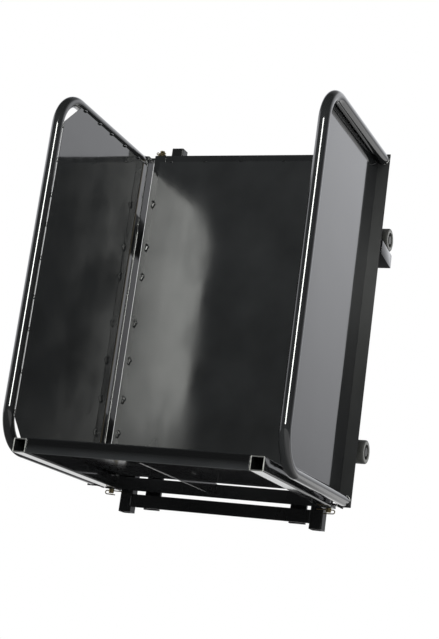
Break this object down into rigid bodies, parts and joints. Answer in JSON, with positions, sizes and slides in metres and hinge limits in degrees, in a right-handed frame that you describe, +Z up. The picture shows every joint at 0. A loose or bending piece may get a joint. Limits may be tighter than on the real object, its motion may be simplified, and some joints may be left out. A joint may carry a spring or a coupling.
{
  "type": "roofing bench",
  "caption": "Black steel roofing bench for an inclined ladder hoist: L-shaped load carrier with a floor, a back sheet and tube-framed side walls that swing outwards, on track rollers.",
  "frame": {"origin": "centre of the four roller contacts: on the front plane of the track, midway between the rails and midway between the upper and lower rollers", "axes": "+Z up along the track, +X to the right seen from the load side, -Y from the track towards the load"},
  "size_m": [0.642, 0.6212, 0.9],
  "materials": {
    "black_paint": "glossy black paint over welded steel",
    "yellow_zinc": "yellow-passivated zinc plating",
    "bright_zinc": "zinc-plated hexagon fasteners",
    "bare_steel": "turned steel",
    "roller_plastic": "grey-brown cast nylon"
  },
  "bodies": {
    "frame": {"axle_bolts": "bright_zinc", "axle_nuts": "bright_zinc", "axle_spacers": "bare_steel", "back_sheet": "black_paint", "bottom_beam": "black_paint", "bottom_crossbar": "black_paint", "centre_rib": "black_paint", "floor_sheet": "black_paint", "front_bar": "black_paint", "hinge_nuts": "yellow_zinc", "hinge_rod_left": "yellow_zinc", "hinge_rod_right": "yellow_zinc", "leg_left": "black_paint", "leg_right": "black_paint", "pivot_plates": "black_paint", "roller_guard_left": "black_paint", "roller_guard_right": "black_paint", "roller_plate_lower_left": "black_paint", "roller_plate_lower_right": "black_paint", "roller_plate_upper_left": "black_paint", "roller_plate_upper_right": "black_paint", "rope_lug": "black_paint", "side_bar_left": "black_paint", "side_bar_right": "black_paint", "split_pins": "yellow_zinc", "strap_left": "black_paint", "strap_right": "black_paint", "top_crossbar": "black_paint", "upper_beam": "black_paint", "upright_left": "black_paint", "upright_right": "black_paint"},
    "left_wall": {"hinge_ear_bottom_left": "black_paint", "hinge_ear_top_left": "black_paint", "wall_post_left": "black_paint", "wall_sheet_left": "black_paint", "wall_tube_left": "black_paint"},
    "right_wall": {"hinge_ear_bottom_right": "black_paint", "hinge_ear_top_right": "black_paint", "wall_post_right": "black_paint", "wall_sheet_right": "black_paint", "wall_tube_right": "black_paint"},
    "left_clip": {"hinge_clip_left": "yellow_zinc"},
    "right_clip": {"hinge_clip_right": "yellow_zinc"},
    "upper_left_roller": {"roller_upper_left": "roller_plastic", "roller_bush_upper_left": "bare_steel"},
    "upper_right_roller": {"roller_upper_right": "roller_plastic", "roller_bush_upper_right": "bare_steel"},
    "lower_left_roller": {"roller_lower_left": "roller_plastic", "roller_bush_lower_left": "bare_steel"},
    "lower_right_roller": {"roller_lower_right": "roller_plastic", "roller_bush_lower_right": "bare_steel"}
  },
  "joints": [
    {"name": "left_wall_hinge", "type": "hinge", "parent": "frame", "child": "left_wall", "pos_m": [-0.266, -0.16, 0], "axis": [0, 0, -1], "range_deg": [0, 90]},
    {"name": "right_wall_hinge", "type": "hinge", "parent": "frame", "child": "right_wall", "pos_m": [0.266, -0.16, 0], "axis": [0, 0, 1], "range_deg": [0, 90]},
    {"name": "upper_left_roller_spin", "type": "hinge", "parent": "frame", "child": "upper_left_roller", "pos_m": [-0.277, -0.0275, 0.255], "axis": [1, 0, 0], "continuous": true},
    {"name": "upper_right_roller_spin", "type": "hinge", "parent": "frame", "child": "upper_right_roller", "pos_m": [0.277, -0.0275, 0.255], "axis": [1, 0, 0], "continuous": true},
    {"name": "lower_left_roller_spin", "type": "hinge", "parent": "frame", "child": "lower_left_roller", "pos_m": [-0.277, -0.0275, -0.255], "axis": [1, 0, 0], "continuous": true},
    {"name": "lower_right_roller_spin", "type": "hinge", "parent": "frame", "child": "lower_right_roller", "pos_m": [0.277, -0.0275, -0.255], "axis": [1, 0, 0], "continuous": true},
    {"name": "left_clip_pull", "type": "slide", "parent": "frame", "child": "left_clip", "axis": [-1, 0, 0], "range_m": [0, 0.05]},
    {"name": "right_clip_pull", "type": "slide", "parent": "frame", "child": "right_clip", "axis": [1, 0, 0], "range_m": [0, 0.05]}
  ]
}
